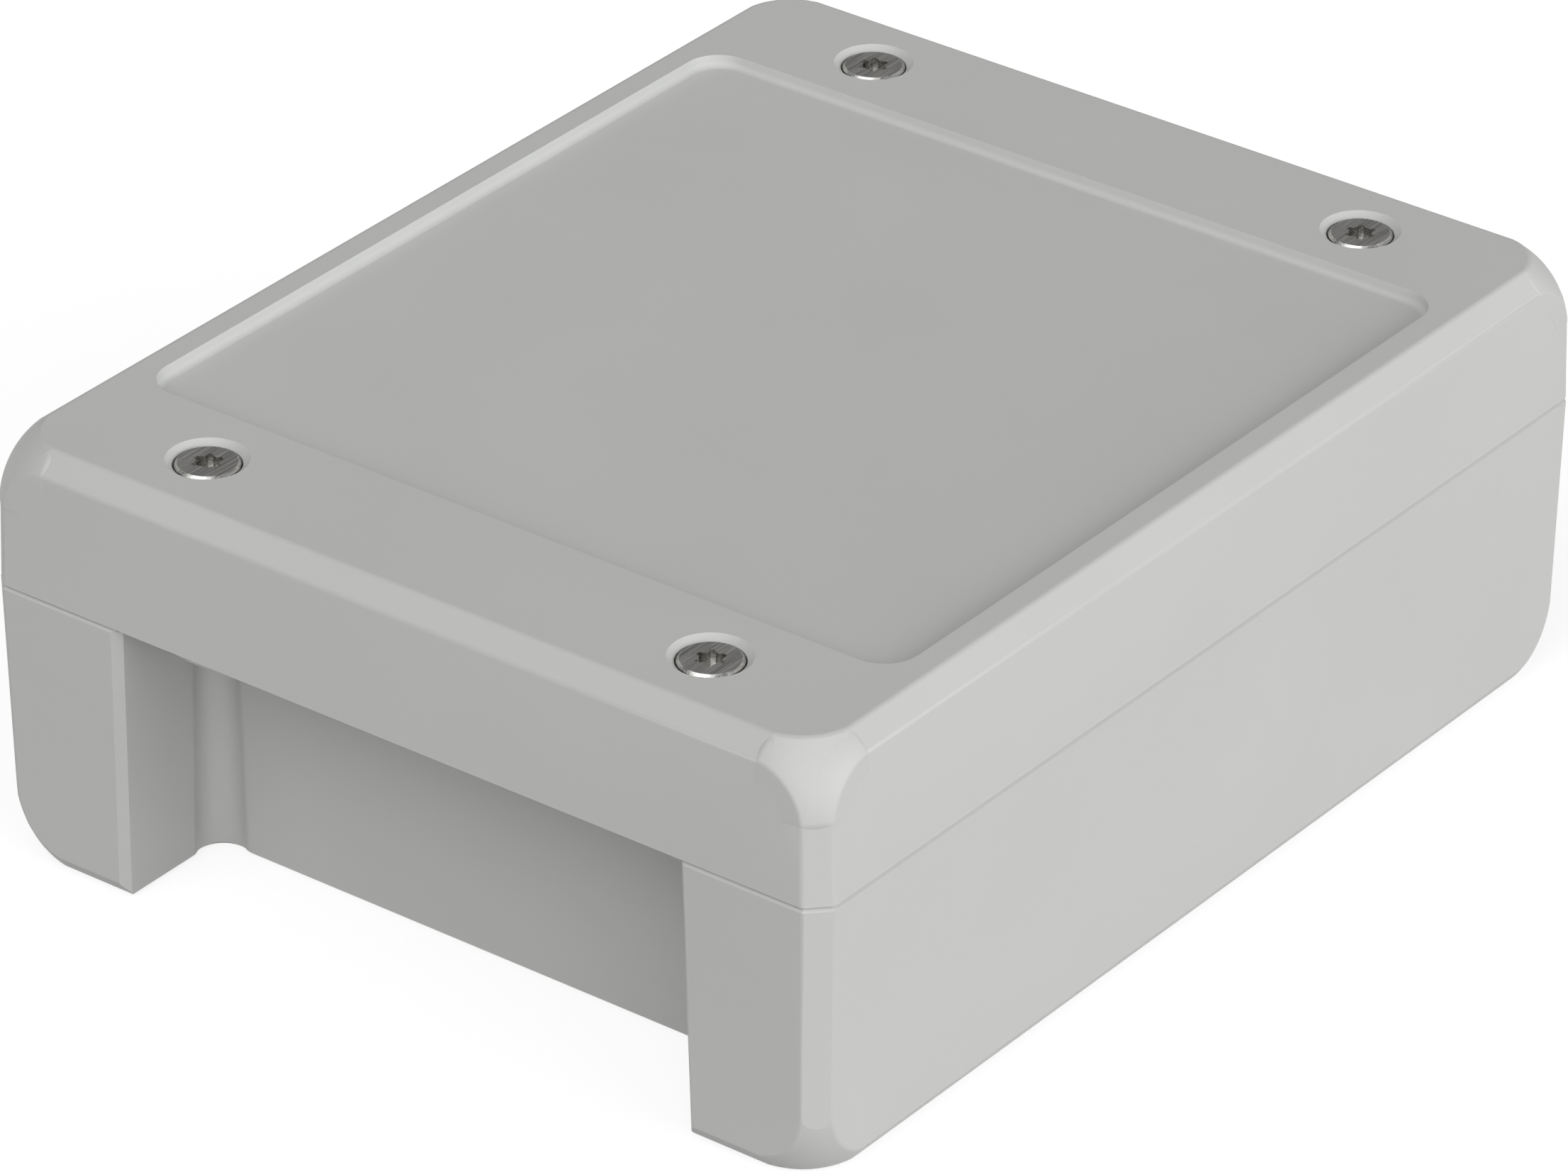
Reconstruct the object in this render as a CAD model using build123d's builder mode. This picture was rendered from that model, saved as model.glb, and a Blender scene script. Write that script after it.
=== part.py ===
from build123d import *
from math import atan, degrees, radians, sqrt, tan
import os

os.makedirs("parts", exist_ok=True)

# Every length is in millimetres. X is across, Y is along, Z is up, and the
# origin is the middle of the underside. Leans are millimetres per millimetre,
# and drafts are degrees.

# outer form of the closed enclosure
WIDTH = 130.0
LENGTH = 161.5
BASE_H = 39.8
LID_H = 20.2
LID_LEAN_X = 0.025
LID_LEAN_Y = 0.015
BASE_LEAN_X = 0.017
BASE_LEAN_Y = 0.020
BAND = 2.7
LID_BAND = 2.8
LID_ARC = 7.4
UNDER_BAND_IN = 1.8
UNDER_BAND_UP = 2.4
BASE_ARC = 7.3
LID_CREASE = 1.0
UNDER_CREASE = 1.0
BASE_CREASE = 0.6
RIM_BEVEL = 0.7
ARC_OVER = 0.02

# sunk field on the lid: its edges are measured from the outer sides
FIELD_SIDE = 6.55
FIELD_END = 22.55
FIELD_DEPTH = 1.6
FIELD_CORNER = 5.0
FIELD_LEAN = 0.30
FIELD_FOOT = 0.9

# end notches for the cable glands, with a flute in each inner corner
LEG_W = 20.65
NOTCH_DEEP = 18.7
NOTCH_DRAFT = 1.2
LEG_BEVEL = 1.1
FLUTE_IN_X = 2.95
FLUTE_IN_Y = 2.9
FLUTE_R = 3.4
FLUTE_SOFT = 1.2
FOOT_BEVEL = 0.4

# walls and seal
FLOOR = 3.0
ROOF = 3.0
WALL_SIDE = 4.4
WALL_END = 3.0
CAVITY_CORNER = 5.0
CAVITY_DRAFT = 1.0
SEAL_W = 2.2
SEAL_DEPTH = 3.6
TONGUE_W = 1.4
TONGUE_H = 1.2
LIP_W = 1.8

# lid screws and what they pass through, placed from the outer sides
SCREW_IN_X = 26.0
SCREW_IN_Y = 12.7
HEAD_D = 8.3
HEAD_H = 2.9
HEAD_SINK = 0.42
HEAD_BEVEL = 0.35
HEAD_GAP = 0.25
SINK_LIP_W = 0.75
SINK_LIP_H = 0.9
NECK_D = 3.1
THREAD_D = 3.9
THREAD_GAP = 0.1
HOLE_GAP = 0.3
ENGAGED = 6.6
TIP_BEVEL = 0.6
LOBE_OUT = 3.95
LOBE_IN = 2.85
LOBE_CUT_R = 0.75
LOBE_DEPTH = 1.9
RING_D = 6.6
RING_H = 1.0
RING_Z = 1.0
RING_GAP = 0.08
RING_ROOM = 0.4
RING_TRAVEL = 6.9

# bosses, legs and pillars
BOSS_R = 5.2
BOSS_FRONT_H = 6.2
BOSS_BACK_H = 12.4
BOSS_ROOT = 1.5
MOUNT_IN_X = 10.7
MOUNT_IN_Y = 9.05
MOUNT_D = 4.6
MOUNT_WELL_D = 9.6
MOUNT_WEB = 4.5
PILLAR_X = 96.0
PILLAR_Y = 45.0
PILLAR_D = 7.0
PILLAR_H = 6.0
PILLAR_HOLE_D = 3.0
PILLAR_HOLE_DEEP = 7.5
EARTH_IN = 5.7
EARTH_BOSS_D = 10.0
EARTH_BOSS_H = 4.0
EARTH_HOLE_DEEP = 5.5
EARTH_WASHER_D = 8.4
EARTH_WASHER_H = 0.8
EARTH_TOOTH_W = 0.8
EARTH_TOOTH_DEEP = 0.7
EARTH_HEAD_D = 7.6
EARTH_HEAD_H = 2.6
EARTH_HEAD_ROUND = 1.0
EARTH_REACH = 5.0

# pockets over the legs and between the screws, in the lid's ends
POCKET_WALL = 3.3
POCKET_BACK = 2.2
POCKET_ROOF = 3.2
POCKET_CORNER = 3.5
POCKET_DRAFT = 0.5
POST_R = 5.6
RIB_W = 2.4
RIB_X = 34.0

# how far a cutting shape runs past what it cuts
PAST = 9.0

# what follows from the sizes above
PARTING = BASE_H
HEIGHT = BASE_H + LID_H
FIELD_X = WIDTH - 2 * FIELD_SIDE
FIELD_Y = LENGTH - 2 * FIELD_END
NOTCH_X = WIDTH - 2 * LEG_W
NOTCH_Y = LENGTH / 2 - NOTCH_DEEP
notch_lean = tan(radians(NOTCH_DRAFT))
notch_head_x = NOTCH_X / 2 - notch_lean * PARTING
notch_head_y = NOTCH_Y + notch_lean * PARTING
FLUTE_X = NOTCH_X / 2 - FLUTE_IN_X
FLUTE_Y = NOTCH_Y + FLUTE_IN_Y
CAVITY_X = WIDTH - 2 * WALL_SIDE
CAVITY_Y = 2 * (notch_head_y - WALL_END)
SCREW_X = WIDTH - 2 * SCREW_IN_X
SCREW_Y = LENGTH - 2 * SCREW_IN_Y
MOUNT_X = WIDTH - 2 * MOUNT_IN_X
MOUNT_Y = LENGTH - 2 * MOUNT_IN_Y
EARTH_Y = CAVITY_Y / 2 - EARTH_IN
POCKET_X = WIDTH - 2 * POCKET_WALL
POCKET_Y_OUT = LENGTH / 2 - POCKET_WALL
POCKET_Y_IN = CAVITY_Y / 2 + SEAL_W + POCKET_BACK
HEAD_TOP = HEIGHT - HEAD_SINK
HEAD_SEAT = HEAD_TOP - HEAD_H
SCREW_SPOTS = [(x * SCREW_X / 2, y * SCREW_Y / 2) for y in (-1, 1) for x in (-1, 1)]
MOUNT_SPOTS = [(x * MOUNT_X / 2, y * MOUNT_Y / 2) for y in (-1, 1) for x in (-1, 1)]
SEAL_X = CAVITY_X + SEAL_W
SEAL_Y = CAVITY_Y + SEAL_W


def level(edge, z):
    return abs((edge @ 0).Z - z) < 0.01 and abs((edge @ 1).Z - z) < 0.01


def upright(edge):
    return abs((edge @ 0).Z - (edge @ 1).Z) > 0.5 * edge.length


# Lid: drafted block whose flat bands flare into a ball at every upper corner.
# The ball's middle lies equally deep under the three sides of its corner, and
# it cuts each of them in an arc that runs on from the bands' edges.
lid_top_x = WIDTH / 2 - LID_LEAN_X * LID_H
lid_top_y = LENGTH / 2 - LID_LEAN_Y * LID_H
ball_deep = LID_ARC + LID_BAND
ball_r = sqrt(ball_deep**2 + LID_ARC**2) + ARC_OVER
ball_x = lid_top_x + LID_LEAN_X * ball_deep - ball_deep * sqrt(1 + LID_LEAN_X**2)
ball_y = lid_top_y + LID_LEAN_Y * ball_deep - ball_deep * sqrt(1 + LID_LEAN_Y**2)
ball_rise = ball_deep * (LID_LEAN_X + LID_LEAN_Y) / 2
with BuildPart() as lid:
    with BuildSketch(Plane.XY.offset(PARTING)):
        Rectangle(WIDTH, LENGTH)
    with BuildSketch(Plane.XY.offset(HEIGHT)):
        Rectangle(2 * lid_top_x, 2 * lid_top_y)
    loft()
    chamfer(lid.edges().filter_by(upright), LID_BAND)
    for plane, half, lean in (
        (Plane.XZ, lid_top_x, LID_LEAN_X),
        (Plane.YZ, lid_top_y, LID_LEAN_Y),
    ):
        band = LID_BAND - lean * ball_deep
        with BuildSketch(plane):
            for side in (1, -1):
                with BuildLine():
                    Polyline(
                        (side * (half - band), HEIGHT),
                        (side * (half + lean * band), HEIGHT - band),
                        (side * (half + PAST), HEIGHT - band),
                        (side * (half + PAST), HEIGHT + PAST),
                        (side * (half - band), HEIGHT + PAST),
                        close=True,
                    )
                make_face()
        extrude(amount=LENGTH, both=True, mode=Mode.SUBTRACT)
    for x, to_x in ((-1, Align.MAX), (1, Align.MIN)):
        for y, to_y in ((-1, Align.MAX), (1, Align.MIN)):
            with BuildPart(mode=Mode.SUBTRACT):
                with Locations((x * ball_x, y * ball_y, HEIGHT - ball_deep + ball_rise)):
                    Box(
                        ball_deep + PAST,
                        ball_deep + PAST,
                        ball_deep + PAST,
                        align=(to_x, to_y, Align.MIN),
                    )
                with Locations((x * ball_x, y * ball_y, HEIGHT - ball_deep)):
                    Sphere(ball_r, mode=Mode.SUBTRACT)
    fillet(lid.faces().sort_by(Axis.Z)[-1].edges(), LID_CREASE)
    sides = lid.faces().filter_by(
        lambda f: f.area > 0.3 * LID_H * WIDTH and abs(f.normal_at().Z) < 0.5
    )
    fillet(sides.edges().filter_by(lambda e: not level(e, PARTING)), LID_CREASE)

    # sunk field with a soft foot
    with BuildSketch(Plane.XY.offset(HEIGHT - FIELD_DEPTH)):
        RectangleRounded(
            FIELD_X - 2 * FIELD_LEAN, FIELD_Y - 2 * FIELD_LEAN, FIELD_CORNER - FIELD_LEAN
        )
    with BuildSketch(Plane.XY.offset(HEIGHT)):
        RectangleRounded(FIELD_X, FIELD_Y, FIELD_CORNER)
    loft(mode=Mode.SUBTRACT)
    field_floor = lid.faces().filter_by(
        lambda f: abs(f.center().Z - (HEIGHT - FIELD_DEPTH)) < 0.01
    )
    fillet(field_floor.edges(), FIELD_FOOT)

    # room inside
    with BuildSketch(Plane.XY.offset(PARTING)):
        RectangleRounded(
            CAVITY_X - 2 * LIP_W, CAVITY_Y - 2 * LIP_W, CAVITY_CORNER - LIP_W
        )
    extrude(
        amount=LID_H - FIELD_DEPTH - ROOF, taper=CAVITY_DRAFT, mode=Mode.SUBTRACT
    )

    # groove for the seal
    with BuildSketch(Plane.XY.offset(PARTING)):
        RectangleRounded(
            CAVITY_X + 2 * SEAL_W, CAVITY_Y + 2 * SEAL_W, CAVITY_CORNER + SEAL_W
        )
        RectangleRounded(CAVITY_X, CAVITY_Y, CAVITY_CORNER, mode=Mode.SUBTRACT)
    extrude(amount=SEAL_DEPTH, mode=Mode.SUBTRACT)

    # pockets in both ends, leaving a post for each screw and thin ribs
    pocket_mid = (POCKET_Y_IN + POCKET_Y_OUT) / 2
    pocket_long = POCKET_Y_OUT - POCKET_Y_IN
    with BuildSketch(Plane.XY.offset(PARTING)):
        with Locations((0, pocket_mid), (0, -pocket_mid)):
            RectangleRounded(POCKET_X, pocket_long, POCKET_CORNER)
        with Locations(*SCREW_SPOTS):
            Circle(POST_R, mode=Mode.SUBTRACT)
        with GridLocations(SCREW_X, 2 * pocket_mid, 2, 2):
            Rectangle(RIB_W, pocket_long, mode=Mode.SUBTRACT)
        with GridLocations(RIB_X, 2 * pocket_mid, 2, 2):
            Rectangle(RIB_W, pocket_long, mode=Mode.SUBTRACT)
    extrude(amount=LID_H - POCKET_ROOF, taper=POCKET_DRAFT, mode=Mode.SUBTRACT)

    # stepped bores for the captive screws
    with BuildSketch(Plane.XY.offset(PARTING)):
        with Locations(*SCREW_SPOTS):
            Circle(THREAD_D / 2 + HOLE_GAP)
    extrude(amount=LID_H, mode=Mode.SUBTRACT)
    with BuildSketch(Plane.XY.offset(HEAD_SEAT)):
        with Locations(*SCREW_SPOTS):
            Circle(HEAD_D / 2 + HEAD_GAP)
    extrude(amount=HEIGHT - HEAD_SEAT, mode=Mode.SUBTRACT)
    with BuildSketch(Plane.XY.offset(PARTING)):
        with Locations(*SCREW_SPOTS):
            Circle(RING_D / 2 + RING_ROOM)
    extrude(amount=RING_Z + RING_H + RING_TRAVEL, mode=Mode.SUBTRACT)
    mouths = lid.edges().filter_by(GeomType.CIRCLE).filter_by(
        lambda e: level(e, HEIGHT) and abs(e.radius - HEAD_D / 2 - HEAD_GAP) < 0.01
    )
    chamfer(mouths, SINK_LIP_H, SINK_LIP_W)
lid.part.label = "lid"

# Bosses for the lid screws, with a sloping underside, joined to leg and wall
boss_front = SCREW_Y / 2 + BOSS_R
with BuildPart() as bosses:
    with BuildSketch(Plane.XY.offset(PARTING)):
        with Locations(*SCREW_SPOTS):
            Circle(BOSS_R)
        for x in (-1, 1):
            for y in (-1, 1):
                with BuildLine():
                    Polyline(
                        (x * (SCREW_X / 2 - BOSS_R), y * SCREW_Y / 2),
                        (x * (SCREW_X / 2 - BOSS_R), y * (notch_head_y - BOSS_ROOT)),
                        (x * (notch_head_x + BOSS_ROOT), y * (notch_head_y - BOSS_ROOT)),
                        (x * (notch_head_x + BOSS_ROOT), y * SCREW_Y / 2),
                        close=True,
                    )
                make_face()
    extrude(amount=-BOSS_BACK_H)
    for side in (-1, 1):
        with BuildSketch(Plane.YZ):
            with BuildLine():
                Polyline(
                    (side * boss_front, PARTING - BOSS_FRONT_H),
                    (side * notch_head_y, PARTING - BOSS_BACK_H),
                    (side * notch_head_y, PARTING - 2 * BOSS_BACK_H),
                    (side * (boss_front + PAST), PARTING - 2 * BOSS_BACK_H),
                    (side * (boss_front + PAST), PARTING - BOSS_FRONT_H),
                    close=True,
                )
            make_face()
        extrude(amount=NOTCH_X / 2 + PAST, both=True, mode=Mode.SUBTRACT)

# Base: drafted block, two end notches with four corner legs. Its bands flare
# into an egg at every lower corner, which is a ball stretched upwards, because
# the band under the sides is higher than it is deep.
base_low_x = WIDTH / 2 - BASE_LEAN_X * PARTING
base_low_y = LENGTH / 2 - BASE_LEAN_Y * PARTING
egg_in = BASE_ARC + BAND
egg_r = sqrt(egg_in**2 + BASE_ARC**2)
egg_half = sqrt(egg_r**2 - (egg_in - UNDER_BAND_IN) ** 2)
egg_stretch = UNDER_BAND_UP / (egg_half - BASE_ARC)
egg_z = egg_half * egg_stretch
egg_x = base_low_x + BASE_LEAN_X * egg_z - egg_in
egg_y = base_low_y + BASE_LEAN_Y * egg_z - egg_in
egg_drop = egg_in * egg_stretch**2
with BuildPart() as base:
    with BuildSketch(Plane.XY):
        Rectangle(2 * base_low_x, 2 * base_low_y)
    with BuildSketch(Plane.XY.offset(PARTING)):
        Rectangle(WIDTH, LENGTH)
    loft()
    chamfer(base.edges().filter_by(upright), BAND)
    chamfer(base.faces().sort_by(Axis.Z)[-1].edges(), RIM_BEVEL)
    for plane, half, lean in (
        (Plane.XZ, base_low_x, BASE_LEAN_X),
        (Plane.YZ, base_low_y, BASE_LEAN_Y),
    ):
        band_in = UNDER_BAND_IN - lean * egg_z
        band_up = UNDER_BAND_UP - lean * egg_drop
        with BuildSketch(plane):
            for side in (1, -1):
                with BuildLine():
                    Polyline(
                        (side * (half - band_in), 0),
                        (side * (half + lean * band_up), band_up),
                        (side * (half + PAST), band_up),
                        (side * (half + PAST), -PAST),
                        (side * (half - band_in), -PAST),
                        close=True,
                    )
                make_face()
        extrude(amount=LENGTH, both=True, mode=Mode.SUBTRACT)
    with BuildPart(mode=Mode.PRIVATE) as egg:
        Sphere(egg_r + ARC_OVER)
        scale(by=(1, 1, egg_stretch))
    sink = egg_drop * (BASE_LEAN_X + BASE_LEAN_Y) / 2
    for x, to_x in ((-1, Align.MAX), (1, Align.MIN)):
        for y, to_y in ((-1, Align.MAX), (1, Align.MIN)):
            with BuildPart(mode=Mode.SUBTRACT):
                with Locations((x * egg_x, y * egg_y, egg_z - sink)):
                    Box(egg_in + PAST, egg_in + PAST, egg_z + PAST, align=(to_x, to_y, Align.MAX))
                with Locations((x * egg_x, y * egg_y, egg_z)):
                    add(egg.part, mode=Mode.SUBTRACT)
    fillet(base.faces().sort_by(Axis.Z)[0].edges(), UNDER_CREASE)
    sides = base.faces().filter_by(
        lambda f: f.area > 0.3 * PARTING * WIDTH and abs(f.normal_at().Z) < 0.5
    )
    fillet(sides.edges().filter_by(lambda e: not level(e, PARTING - RIM_BEVEL)), BASE_CREASE)

    # notches, wider at the foot so that the casting leaves its mould, with a
    # flute in each inner corner
    for side in (-1, 1):
        with BuildSketch(Plane.XY) as outline:
            reach = LENGTH / 2 + PAST - NOTCH_Y
            with Locations((0, side * (NOTCH_Y + reach / 2))):
                Rectangle(NOTCH_X, reach)
            for x in (-1, 1):
                with Locations(
                    (x * (FLUTE_X + NOTCH_X / 2) / 2, side * (FLUTE_Y + NOTCH_Y) / 2)
                ):
                    Rectangle(NOTCH_X / 2 - FLUTE_X, FLUTE_Y - NOTCH_Y, mode=Mode.SUBTRACT)
                with Locations((x * FLUTE_X, side * FLUTE_Y)):
                    Circle(FLUTE_R)
            fillet(
                outline.vertices().filter_by(
                    lambda v: NOTCH_Y - 0.01 < abs(v.Y) < FLUTE_Y + FLUTE_R
                ),
                FLUTE_SOFT,
            )
        extrude(amount=PARTING, taper=NOTCH_DRAFT, mode=Mode.SUBTRACT)
        with BuildSketch(Plane.XY):
            offset(outline.sketch, FOOT_BEVEL)
        extrude(amount=FOOT_BEVEL, taper=degrees(atan(1 + notch_lean)), mode=Mode.SUBTRACT)

    # bevel down the inner corner of every leg
    for x in (-1, 1):
        for y in (-1, 1):
            for z, half, end in (
                (0, NOTCH_X / 2, base_low_y),
                (PARTING, notch_head_x, LENGTH / 2),
            ):
                with BuildSketch(Plane.XY.offset(z)):
                    with BuildLine():
                        Polyline(
                            (x * (half - 2), y * (end - LEG_BEVEL - 2)),
                            (x * (half + LEG_BEVEL + 2), y * (end + 2)),
                            (x * (half - 2), y * (end + 2)),
                            close=True,
                        )
                    make_face()
            loft(mode=Mode.SUBTRACT)
    inner_tops = base.edges().filter_by(
        lambda e: level(e, PARTING)
        and e.length < LEG_BEVEL
        and abs(e.center().Y) > LENGTH / 2 - 2 * LEG_BEVEL
        and abs(e.center().X) < WIDTH / 2 - LEG_W / 2
    )
    chamfer(inner_tops, RIM_BEVEL)

    add(bosses.part)

    # room inside
    with BuildSketch(Plane.XY.offset(PARTING)):
        RectangleRounded(CAVITY_X, CAVITY_Y, CAVITY_CORNER)
    extrude(amount=FLOOR - PARTING, taper=CAVITY_DRAFT, mode=Mode.SUBTRACT)

    # tongue that presses into the seal
    with BuildSketch(Plane.XY.offset(PARTING)):
        RectangleRounded(
            SEAL_X + TONGUE_W, SEAL_Y + TONGUE_W, CAVITY_CORNER + (SEAL_W + TONGUE_W) / 2
        )
        RectangleRounded(
            SEAL_X - TONGUE_W,
            SEAL_Y - TONGUE_W,
            CAVITY_CORNER + (SEAL_W - TONGUE_W) / 2,
            mode=Mode.SUBTRACT,
        )
    extrude(amount=TONGUE_H)

    # pillars for a circuit board, and the earth boss
    with BuildSketch(Plane.XY.offset(FLOOR)):
        with GridLocations(PILLAR_X, PILLAR_Y, 2, 3):
            Circle(PILLAR_D / 2)
    extrude(amount=PILLAR_H)
    with BuildSketch(Plane.XY.offset(FLOOR + PILLAR_H)):
        with GridLocations(PILLAR_X, PILLAR_Y, 2, 3):
            Circle(PILLAR_HOLE_D / 2)
    extrude(amount=-PILLAR_HOLE_DEEP, mode=Mode.SUBTRACT)
    with BuildSketch(Plane.XY.offset(FLOOR)):
        with Locations((0, -EARTH_Y)):
            Circle(EARTH_BOSS_D / 2)
        with Locations((0, -(EARTH_Y + CAVITY_Y / 2) / 2)):
            Rectangle(EARTH_BOSS_D, CAVITY_Y / 2 - EARTH_Y)
    extrude(amount=EARTH_BOSS_H)
    with BuildSketch(Plane.XY.offset(FLOOR + EARTH_BOSS_H)):
        with Locations((0, -EARTH_Y)):
            Circle(THREAD_D / 2 + THREAD_GAP)
    extrude(amount=-EARTH_HOLE_DEEP, mode=Mode.SUBTRACT)

    # tapped holes for the lid screws, and the wells for the mounting screws
    with BuildSketch(Plane.XY.offset(PARTING)):
        with Locations(*SCREW_SPOTS):
            Circle(THREAD_D / 2 + THREAD_GAP)
    extrude(amount=-BOSS_BACK_H, mode=Mode.SUBTRACT)
    with BuildSketch(Plane.XY.offset(PARTING)):
        with Locations(*MOUNT_SPOTS):
            Circle(MOUNT_WELL_D / 2)
    extrude(amount=MOUNT_WEB - PARTING, mode=Mode.SUBTRACT)
    with BuildSketch(Plane.XY.offset(MOUNT_WEB)):
        with Locations(*MOUNT_SPOTS):
            Circle(MOUNT_D / 2)
    extrude(amount=-MOUNT_WEB, mode=Mode.SUBTRACT)
base.part.label = "base"

# Seal: an endless strip in the lid's groove, resting on the tongue
with BuildPart() as lid_gasket:
    with BuildSketch(Plane.XY.offset(PARTING + TONGUE_H)):
        RectangleRounded(
            CAVITY_X + 2 * SEAL_W, CAVITY_Y + 2 * SEAL_W, CAVITY_CORNER + SEAL_W
        )
        RectangleRounded(CAVITY_X, CAVITY_Y, CAVITY_CORNER, mode=Mode.SUBTRACT)
    extrude(amount=SEAL_DEPTH - TONGUE_H)
    under = lid_gasket.edges().filter_by(lambda e: level(e, PARTING + TONGUE_H))
    fillet(under, (SEAL_W - TONGUE_W) / 2 * 0.9)
lid_gasket.part.label = "lid_gasket"

# Captive lid screw and its ring, made once and set at four places
with BuildPart() as screw:
    with BuildSketch(Plane.XY.offset(HEAD_SEAT)):
        Circle(HEAD_D / 2)
    extrude(amount=HEAD_H)
    chamfer(screw.edges().filter_by(lambda e: level(e, HEAD_TOP)), HEAD_BEVEL)
    with BuildSketch(Plane.XY.offset(PARTING + RING_Z)):
        Circle(NECK_D / 2)
    extrude(amount=HEAD_SEAT - PARTING - RING_Z)
    with BuildSketch(Plane.XY.offset(PARTING - ENGAGED)):
        Circle(THREAD_D / 2)
    extrude(amount=ENGAGED + RING_Z)
    chamfer(screw.edges().filter_by(lambda e: level(e, PARTING - ENGAGED)), TIP_BEVEL)
    with BuildSketch(Plane.XY.offset(HEAD_TOP)):
        Circle(LOBE_OUT / 2)
        with PolarLocations(LOBE_IN / 2 + LOBE_CUT_R, 6, start_angle=30):
            Circle(LOBE_CUT_R, mode=Mode.SUBTRACT)
    extrude(amount=-LOBE_DEPTH, mode=Mode.SUBTRACT)

with BuildPart() as ring:
    with BuildSketch(Plane.XY.offset(PARTING + RING_Z)):
        Circle(RING_D / 2)
        Circle(NECK_D / 2 + RING_GAP, mode=Mode.SUBTRACT)
    extrude(amount=RING_H)

# Earth terminal: toothed washer under a pan-head screw
EARTH_SEAT = FLOOR + EARTH_BOSS_H
with BuildPart() as earth_washer:
    with BuildSketch(Plane.XY.offset(EARTH_SEAT)):
        with Locations((0, -EARTH_Y)):
            Circle(EARTH_WASHER_D / 2)
            Circle(THREAD_D / 2 + HOLE_GAP, mode=Mode.SUBTRACT)
            with PolarLocations(EARTH_WASHER_D / 2, 12):
                Rectangle(2 * EARTH_TOOTH_DEEP, EARTH_TOOTH_W, mode=Mode.SUBTRACT)
    extrude(amount=EARTH_WASHER_H)
earth_washer.part.label = "earth_washer"

with BuildPart() as earth_screw:
    with BuildSketch(Plane.XY.offset(EARTH_SEAT + EARTH_WASHER_H)):
        with Locations((0, -EARTH_Y)):
            Circle(EARTH_HEAD_D / 2)
    extrude(amount=EARTH_HEAD_H)
    head_top = EARTH_SEAT + EARTH_WASHER_H + EARTH_HEAD_H
    fillet(earth_screw.edges().filter_by(lambda e: level(e, head_top)), EARTH_HEAD_ROUND)
    with BuildSketch(Plane.XY.offset(EARTH_SEAT + EARTH_WASHER_H - EARTH_REACH)):
        with Locations((0, -EARTH_Y)):
            Circle(THREAD_D / 2)
    extrude(amount=EARTH_REACH)
    with BuildSketch(Plane.XY.offset(head_top)):
        with Locations((0, -EARTH_Y)):
            Circle(LOBE_OUT / 2)
            with PolarLocations(LOBE_IN / 2 + LOBE_CUT_R, 6, start_angle=30):
                Circle(LOBE_CUT_R, mode=Mode.SUBTRACT)
    extrude(amount=-LOBE_DEPTH, mode=Mode.SUBTRACT)
earth_screw.part.label = "earth_screw"

for piece in (lid, base, lid_gasket, earth_washer, earth_screw):
    export_step(piece.part, "parts/" + piece.part.label + ".step")
for number, (x, y) in enumerate(SCREW_SPOTS, 1):
    for name, master in (("lid_screw", screw), ("screw_ring", ring)):
        with BuildPart() as copy:
            with Locations((x, y, 0)):
                add(master.part)
        copy.part.label = name + "_" + str(number)
        export_step(copy.part, "parts/" + copy.part.label + ".step")
print("pieces written:", len(os.listdir("parts")))
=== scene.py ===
# %% [markdown]
# # A die-cast enclosure for electronics
# The object is a flat box of die-cast aluminium: a lid with a sunk field on top, held by four
# captive screws, over a base that stands on four legs. Its form is finished in the packed
# model, so this lesson gives it what makes it look real: paint on metal, brushed screw heads,
# rubber, nylon, light and a camera. Lengths are in metres, as in the model.

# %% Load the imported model
import math

import bmesh
import bpy
from mathutils import Matrix, Vector


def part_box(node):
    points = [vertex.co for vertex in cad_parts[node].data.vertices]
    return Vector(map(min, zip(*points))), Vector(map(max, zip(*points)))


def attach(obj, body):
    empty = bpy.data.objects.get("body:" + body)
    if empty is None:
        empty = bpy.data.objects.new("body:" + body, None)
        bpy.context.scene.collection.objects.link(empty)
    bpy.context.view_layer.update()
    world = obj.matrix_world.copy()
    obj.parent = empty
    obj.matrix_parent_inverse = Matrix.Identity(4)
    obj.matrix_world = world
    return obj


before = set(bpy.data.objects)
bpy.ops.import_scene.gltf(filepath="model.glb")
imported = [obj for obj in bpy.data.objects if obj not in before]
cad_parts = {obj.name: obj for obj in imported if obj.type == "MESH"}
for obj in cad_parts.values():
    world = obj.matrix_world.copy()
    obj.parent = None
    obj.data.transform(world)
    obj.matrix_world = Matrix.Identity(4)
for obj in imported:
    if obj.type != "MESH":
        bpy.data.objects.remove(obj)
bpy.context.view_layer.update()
MM = 0.001
print("nodes:", sorted(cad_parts))

# %% [markdown]
# ## The camera
# The picture was taken with a long lens, so that parallel edges stay nearly parallel. The
# camera stands about 1.2 m away, a tenth of a turn round to the right and 30 degrees up. The
# numbers of the lens and its place come from matching the box's straight edges, and the small
# shift puts the box where the picture has it.

# %% Set the camera
IMAGE_WIDTH = 2212
IMAGE_HEIGHT = 1653
SENSOR_MM = 36.0
FOCAL_PIXELS = 13121.6
OPTICAL_CENTRE = (1053.42, 823.13)
AZIMUTH = math.radians(37.519)
ELEVATION = math.radians(29.956)
ROLL = math.radians(0.045)
DISTANCE = 1.1961
OFFSET_RIGHT = -0.006256
OFFSET_UP = 0.021609

back = Vector((
    math.sin(AZIMUTH) * math.cos(ELEVATION),
    -math.cos(AZIMUTH) * math.cos(ELEVATION),
    math.sin(ELEVATION),
))
level_right = Vector((math.cos(AZIMUTH), math.sin(AZIMUTH), 0.0))
level_up = back.cross(level_right)
right = math.cos(ROLL) * level_right + math.sin(ROLL) * level_up
up = math.cos(ROLL) * level_up - math.sin(ROLL) * level_right

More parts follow.
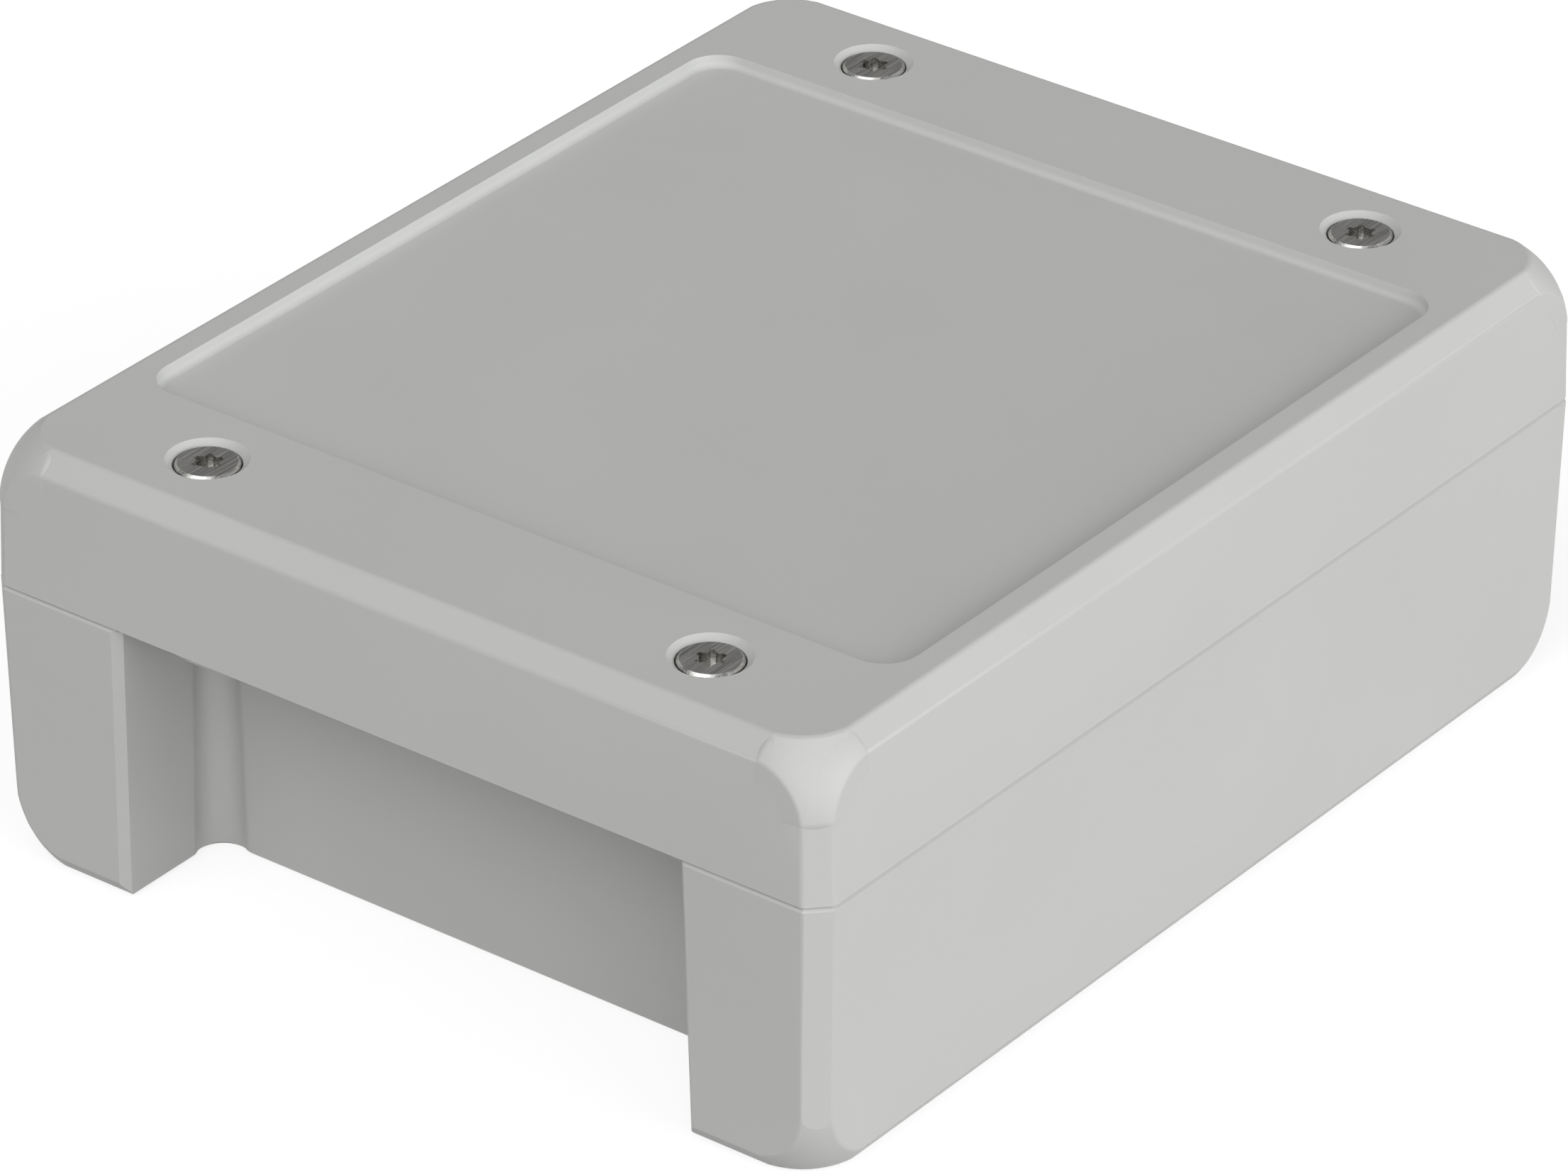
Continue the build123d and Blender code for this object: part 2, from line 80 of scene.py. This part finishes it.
camera_data = bpy.data.cameras.new("camera")
camera_data.sensor_width = SENSOR_MM
camera_data.lens = FOCAL_PIXELS * SENSOR_MM / IMAGE_WIDTH
camera_data.shift_x = (IMAGE_WIDTH / 2 - OPTICAL_CENTRE[0]) / IMAGE_WIDTH
camera_data.shift_y = (OPTICAL_CENTRE[1] - IMAGE_HEIGHT / 2) / IMAGE_WIDTH
camera_data.clip_start = 0.01
camera = bpy.data.objects.new("camera", camera_data)
bpy.context.scene.collection.objects.link(camera)
turn = Matrix((right, up, back)).transposed()
place = back * DISTANCE + right * OFFSET_RIGHT + up * OFFSET_UP
camera.matrix_world = Matrix.Translation(place) @ turn.to_4x4()
bpy.context.scene.camera = camera
print("lens in mm:", round(camera_data.lens, 1))

# %% [markdown]
# ## Colours and nodes
# Colours are written as the hex codes of a colour picker, which are sRGB. Shaders work with
# linear light, so one function turns them and another makes a colour darker or lighter. A
# third one adds a node, sets its values and links it, which keeps each material short.


# %% Define the helpers for materials
def linear(code):
    channels = [int(code[start : start + 2], 16) / 255 for start in (1, 3, 5)]
    return tuple(
        c / 12.92 if c <= 0.04045 else ((c + 0.055) / 1.055) ** 2.4 for c in channels
    ) + (1.0,)


def shade(code, factor):
    return tuple(factor * c for c in linear(code)[:3]) + (1.0,)


def add_node(tree, kind, values=(), links=(), **settings):
    made = tree.nodes.new(kind)
    for name, setting in settings.items():
        setattr(made, name, setting)
    for socket, value in dict(values).items():
        made.inputs[socket].default_value = value
    for socket, source in dict(links).items():
        tree.links.new(source, made.inputs[socket])
    return made


def new_material(name):
    material = bpy.data.materials.new(name)
    material.use_nodes = True
    tree = material.node_tree
    shader = tree.nodes["Principled BSDF"]
    return material, tree, shader


def dress(piece, material):
    piece.data.materials.clear()
    piece.data.materials.append(material)


# %% [markdown]
# ## Powder coat on the castings
# Powder coat is plastic dust, sprayed on dry and melted in an oven. It flows to a satin skin
# that covers the casting's edges softly and dries with a very fine orange peel, so light
# spreads on it without a sharp reflection. The peel is bump from noise with half a
# millimetre between its hills. A slower noise shifts the grey by a hair, as thicker and
# thinner powder do.


# %% Make the powder coat
def powder_coat(name, code):
    material, tree, shader = new_material(name)
    place = add_node(tree, "ShaderNodeTexCoord")
    cloud = add_node(
        tree, "ShaderNodeTexNoise", {"Scale": 1 / (30 * MM), "Detail": 3.0},
        {"Vector": place.outputs["Object"]},
    )
    tone = add_node(
        tree, "ShaderNodeMix", {6: shade(code, 0.97), 7: shade(code, 1.03)},
        {0: cloud.outputs["Fac"]}, data_type="RGBA",
    )
    tree.links.new(tone.outputs[2], shader.inputs["Base Color"])
    peel = add_node(
        tree, "ShaderNodeTexNoise", {"Scale": 1 / (0.5 * MM), "Detail": 2.0},
        {"Vector": place.outputs["Object"]},
    )
    bump = add_node(
        tree, "ShaderNodeBump", {"Strength": 0.35, "Distance": 0.02 * MM},
        {"Height": peel.outputs["Fac"]},
    )
    tree.links.new(bump.outputs["Normal"], shader.inputs["Normal"])
    shader.inputs["Roughness"].default_value = 0.5
    shader.inputs["IOR"].default_value = 1.5
    return material


COAT_GREY = "#C0C1BF"
coat = powder_coat("powder_coat_light_grey", COAT_GREY)
for name in ("lid", "base"):
    dress(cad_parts[name], coat)
    print("painted:", name)

# %% [markdown]
# ## A skin over the rounded corners
# At every upper corner of the lid a ball blends the two sides and the top, and a fillet of one
# millimetre softens its rim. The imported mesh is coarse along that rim, so a fine skin covers
# it, a hundredth of a millimetre above the casting. Plane, fillet and ball are all round about
# the line from the ball's centre straight to the side, so the skin is one profile, swept by a
# quarter turn about that line. Its ends dip under the casting, so no step shows.

# %% Measure the ball and its fillet
LEAN_X = 0.025
LEAN_Y = 0.015
BALL_DEEP = 10.2 * MM
BALL_ARC = 7.4 * MM
BALL_OVER = 0.02 * MM
FILLET_R = 1.0 * MM
SKIN_LIFT = 0.012 * MM
SKIN_THICK = 0.3 * MM
FLAT_FROM = 4.6 * MM
RIM_SINK = 0.06 * MM
END_SINK = 0.3 * MM
END_SHARE = 1 / 14
BALL_PAST = 0.12
lid_low, lid_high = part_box("lid")
rise = lid_high[2] - BALL_DEEP - lid_low[2]
ball_r = math.hypot(BALL_DEEP, BALL_ARC) + BALL_OVER
ball_x = lid_high[0] - LEAN_X * rise - BALL_DEEP * math.hypot(1, LEAN_X)
ball_y = lid_high[1] - LEAN_Y * rise - BALL_DEEP * math.hypot(1, LEAN_Y)
ring_r = math.sqrt((ball_r - FILLET_R) ** 2 - (BALL_DEEP - FILLET_R) ** 2)
meet = math.atan2(ring_r, BALL_DEEP - FILLET_R)
print("the fillet runs", round(ring_r / MM, 2), "mm from the line, up to", round(meet, 3), "rad")


# %% Sweep the skins
def skin_point(rim_turn, share):
    # share runs 0 to 1 along the quarter turn, and the skin dips under the casting at its ends
    ends = min(1.0, min(share, 1 - share) / END_SHARE)
    past = max(0.0, rim_turn - meet - BALL_PAST) / BALL_PAST
    lift = SKIN_LIFT - END_SINK * (1 - ends) - RIM_SINK * past
    if rim_turn < 0:
        return FLAT_FROM, BALL_DEEP + lift
    if rim_turn > meet:
        out = ball_r + lift
        return out * math.sin(rim_turn), out * math.cos(rim_turn)
    out = FILLET_R + lift
    deep = BALL_DEEP - FILLET_R
    return ring_r + out * math.sin(rim_turn), deep + out * math.cos(rim_turn)


# the first turn stands for the flat start of the profile, on the side's plane
FLAT_TURN = -1.0
FILLET_STEPS = 8
BALL_STEPS = 8
RIM_TURNS = [FLAT_TURN]
RIM_TURNS += [meet * n / FILLET_STEPS for n in range(FILLET_STEPS + 1)]
RIM_TURNS += [meet + 2 * BALL_PAST * n / BALL_STEPS for n in range(1, BALL_STEPS + 1)]


def add_skin(shape, centre, outward, side, steps=42):
    upward = Vector((0, 0, 1)) - outward.z * outward
    upward.normalize()
    rows = []
    for step in range(steps + 1):
        share = step / steps
        spoke = math.cos(share * math.pi / 2) * side + math.sin(share * math.pi / 2) * upward
        row = []
        for rim_turn in RIM_TURNS:
            r, d = skin_point(rim_turn, share)
            row.append(shape.verts.new(centre + r * spoke + d * outward))
        rows.append(row)
    flip = side.cross(upward).dot(outward) < 0
    for row, after in zip(rows, rows[1:]):
        for n in range(len(row) - 1):
            corners = [row[n], row[n + 1], after[n + 1], after[n]]
            shape.faces.new(corners[::-1] if flip else corners)


skin_mesh = bpy.data.meshes.new("lid_corner_skin")
shape = bmesh.new()
for sign_x in (-1, 1):
    for sign_y in (-1, 1):
        centre = Vector((sign_x * ball_x, sign_y * ball_y, lid_high[2] - BALL_DEEP))
        out_x = Vector((sign_x, 0, LEAN_X)).normalized()
        out_y = Vector((0, sign_y, LEAN_Y)).normalized()
        add_skin(shape, centre, out_x, Vector((0, sign_y, 0)))
        add_skin(shape, centre, out_y, Vector((sign_x, 0, 0)))
for face in shape.faces:
    face.smooth = True
for edge in shape.edges:
    edge.smooth = not edge.is_boundary
print("skin:", len(shape.faces), "faces on 8 arcs of the lid's rims")
shape.to_mesh(skin_mesh)
shape.free()
skin = bpy.data.objects.new("lid_corner_skin", skin_mesh)
bpy.context.scene.collection.objects.link(skin)
dress(skin, coat)
thicken = skin.modifiers.new("thicken", "SOLIDIFY")
thicken.thickness = SKIN_THICK
thicken.offset = -1.0
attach(skin, "lid_body")

# %% [markdown]
# ## Steel of the screws
# The captive screws are stainless steel. Their heads are faced on a lathe and then drawn over
# an abrasive belt, which leaves fine straight scratches along the box. Noise that is stretched
# forty times along Y gives these scratches. They move the roughness and the bump, so the
# flat top shows streaks while the bevel around it stays bright.


# %% Make the steel
def steel(name, code, rough, grain):
    material, tree, shader = new_material(name)
    place = add_node(tree, "ShaderNodeTexCoord")
    stretch = add_node(
        tree, "ShaderNodeMapping", {"Scale": grain}, {"Vector": place.outputs["Object"]},
    )
    scratch = add_node(
        tree, "ShaderNodeTexNoise", {"Scale": 1.0, "Detail": 4.0, "Roughness": 0.65},
        {"Vector": stretch.outputs["Vector"]},
    )
    streak = add_node(
        tree, "ShaderNodeMapRange", {"From Min": 0.35, "From Max": 0.65},
        {"Value": scratch.outputs["Fac"]},
    )
    tone = add_node(
        tree, "ShaderNodeMix", {6: shade(code, 0.65), 7: shade(code, 1.4)},
        {0: streak.outputs["Result"]}, data_type="RGBA",
    )
    tree.links.new(tone.outputs[2], shader.inputs["Base Color"])
    spread = add_node(
        tree, "ShaderNodeMapRange",
        {"From Min": 0.3, "From Max": 0.7, "To Min": rough * 0.7, "To Max": rough * 1.4},
        {"Value": scratch.outputs["Fac"]},
    )
    tree.links.new(spread.outputs["Result"], shader.inputs["Roughness"])
    bump = add_node(
        tree, "ShaderNodeBump", {"Strength": 0.5, "Distance": 0.01 * MM},
        {"Height": scratch.outputs["Fac"]},
    )
    tree.links.new(bump.outputs["Normal"], shader.inputs["Normal"])
    shader.inputs["Metallic"].default_value = 1.0
    return material


ACROSS = 1 / (0.22 * MM)
ALONG = 1 / (9.0 * MM)
STEEL_GREY = "#C9C8C5"
belt_steel = steel("belt_ground_steel", STEEL_GREY, 0.26, (ACROSS, ALONG, ACROSS))
ZINC_GREY = "#B9BCC0"
EVEN = 1 / (0.4 * MM)
zinc_steel = steel("zinc_plated_steel", ZINC_GREY, 0.34, (EVEN, EVEN, EVEN))
for number in range(1, 5):
    dress(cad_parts["lid_screw_" + str(number)], belt_steel)
for name in ("earth_washer", "earth_screw"):
    dress(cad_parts[name], zinc_steel)
print("steel pieces: 4 lid screws, 1 washer, 1 earth screw")

# %% [markdown]
# ## Rubber and nylon
# The seal is a black foamed rubber with tiny pores, which bump from a cell pattern gives. The
# rings that keep the screws in the lid are natural nylon. It is milky, so some light goes into
# it and comes out softened, and its surface is a little uneven from the mould.


# %% Make the rubber and the nylon
def moulded(name, code, rough, cell, depth, glow):
    material, tree, shader = new_material(name)
    place = add_node(tree, "ShaderNodeTexCoord")
    pores = add_node(
        tree, "ShaderNodeTexVoronoi", {"Scale": 1 / cell}, {"Vector": place.outputs["Object"]},
    )
    tone = add_node(
        tree, "ShaderNodeMix", {6: shade(code, 0.8), 7: shade(code, 1.1)},
        {0: pores.outputs["Distance"]}, data_type="RGBA",
    )
    tree.links.new(tone.outputs[2], shader.inputs["Base Color"])
    bump = add_node(
        tree, "ShaderNodeBump", {"Strength": 0.6, "Distance": depth},
        {"Height": pores.outputs["Distance"]},
    )
    tree.links.new(bump.outputs["Normal"], shader.inputs["Normal"])
    shader.inputs["Roughness"].default_value = rough
    shader.inputs["Subsurface Weight"].default_value = glow
    shader.inputs["Subsurface Radius"].default_value = (0.8 * MM, 0.7 * MM, 0.6 * MM)
    shader.inputs["Subsurface Scale"].default_value = 1.0
    return material


RUBBER_BLACK = "#26272A"
NYLON_WHITE = "#DEDACB"
seal_rubber = moulded("black_seal_rubber", RUBBER_BLACK, 0.75, 0.25 * MM, 0.03 * MM, 0.0)
nylon = moulded("natural_nylon", NYLON_WHITE, 0.45, 0.8 * MM, 0.01 * MM, 0.4)
dress(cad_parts["lid_gasket"], seal_rubber)
for number in range(1, 5):
    dress(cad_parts["screw_ring_" + str(number)], nylon)
print("seal and four rings dressed")

# %% [markdown]
# ## Light
# A studio for product pictures lights from large white surfaces, because their soft edges
# show how a form turns. Here they are soft patches of light in the world, each with its
# direction and its width, and they fade towards their rims as a lit sheet does. The strong
# ones stand low on the right, so the long side is the lightest part and the sunk field
# darkens towards its right wall. One higher up in front lights the top and the front, and two
# weak ones fill the back and the left. The sky behind the box stays dim, and the flat screw
# heads mirror it.

# %% Light the room
world = bpy.data.worlds.new("studio")
world.use_nodes = True
sky = world.node_tree
sky_direction = add_node(sky, "ShaderNodeTexCoord").outputs["Generated"]


def soft_patch(azimuth, elevation, width, strength, below):
    a = math.radians(azimuth)
    e = math.radians(elevation)
    towards = (math.sin(a) * math.cos(e), -math.cos(a) * math.cos(e), math.sin(e))
    facing = add_node(
        sky, "ShaderNodeVectorMath", {1: towards}, {0: sky_direction}, operation="DOT_PRODUCT",
    )
    sharp = 1 / math.radians(width) ** 2
    falling = add_node(
        sky, "ShaderNodeMath", {1: sharp, 2: -sharp}, {0: facing.outputs["Value"]},
        operation="MULTIPLY_ADD",
    )
    patch = add_node(
        sky, "ShaderNodeMath", links={0: falling.outputs[0]}, operation="EXPONENT",
    )
    total = add_node(
        sky, "ShaderNodeMath", {1: strength}, {0: patch.outputs[0], 2: below},
        operation="MULTIPLY_ADD",
    )
    print("patch of light at", azimuth, elevation, "width", width, "strength", strength)
    return total.outputs[0]


DIM_SKY = 0.02
dim = add_node(sky, "ShaderNodeValue")
dim.outputs[0].default_value = DIM_SKY
glow_sum = dim.outputs[0]
# each patch is its azimuth, elevation and width in degrees, and its strength
PATCHES = (
    (45, 6, 18, 1.8),
    (90, 6, 18, 4.0),
    (112, 6, 18, 1.8),
    (0, 50, 18, 3.2),
    (168, 6, 20, 0.7),
    (264, 6, 20, 0.7),
    (217, 33, 25, 0.16),
)
for patch in PATCHES:
    glow_sum = soft_patch(*patch, glow_sum)
sky.links.new(glow_sum, sky.nodes["Background"].inputs["Strength"])
sky.nodes["Background"].inputs["Color"].default_value = linear("#FFFFFF")
bpy.context.scene.world = world

# %% [markdown]
# ## The floor
# The box stands on a pale sheet that runs far past the picture. Only for the camera and for
# shiny metal the sheet glows a little, which lifts it to white and puts no light on the box.
# The glow comes on top of the light that falls on the sheet, so the shadow stays on it.

# %% Lay the floor
FLOOR_SIZE = 12.0
FLOOR_GLOW = 0.78
FLOOR_GREY = "#969696"
floor_mesh = bpy.data.meshes.new("floor")
shape = bmesh.new()
bmesh.ops.create_grid(shape, x_segments=1, y_segments=1, size=FLOOR_SIZE / 2)
shape.to_mesh(floor_mesh)
shape.free()
floor = bpy.data.objects.new("floor", floor_mesh)
bpy.context.scene.collection.objects.link(floor)
floor_paper, tree, shader = new_material("floor_paper")
shader.inputs["Base Color"].default_value = linear(FLOOR_GREY)
shader.inputs["Roughness"].default_value = 0.9
path = add_node(tree, "ShaderNodeLightPath")
seen = add_node(
    tree, "ShaderNodeMath",
    links={0: path.outputs["Is Camera Ray"], 1: path.outputs["Is Glossy Ray"]},
    operation="MAXIMUM",
)
seen_glass = add_node(
    tree, "ShaderNodeMath", links={0: seen.outputs[0], 1: path.outputs["Is Transmission Ray"]},
    operation="MAXIMUM",
)
glow = add_node(
    tree, "ShaderNodeMath", {1: FLOOR_GLOW}, {0: seen_glass.outputs[0]}, operation="MULTIPLY",
)
tree.links.new(glow.outputs[0], shader.inputs["Emission Strength"])
shader.inputs["Emission Color"].default_value = linear("#FFFFFF")
dress(floor, floor_paper)

# %% [markdown]
# ## Finish
# The picture keeps its colours as they are written, without a film look.

# %% Finish
bpy.context.scene.view_settings.view_transform = "Standard"
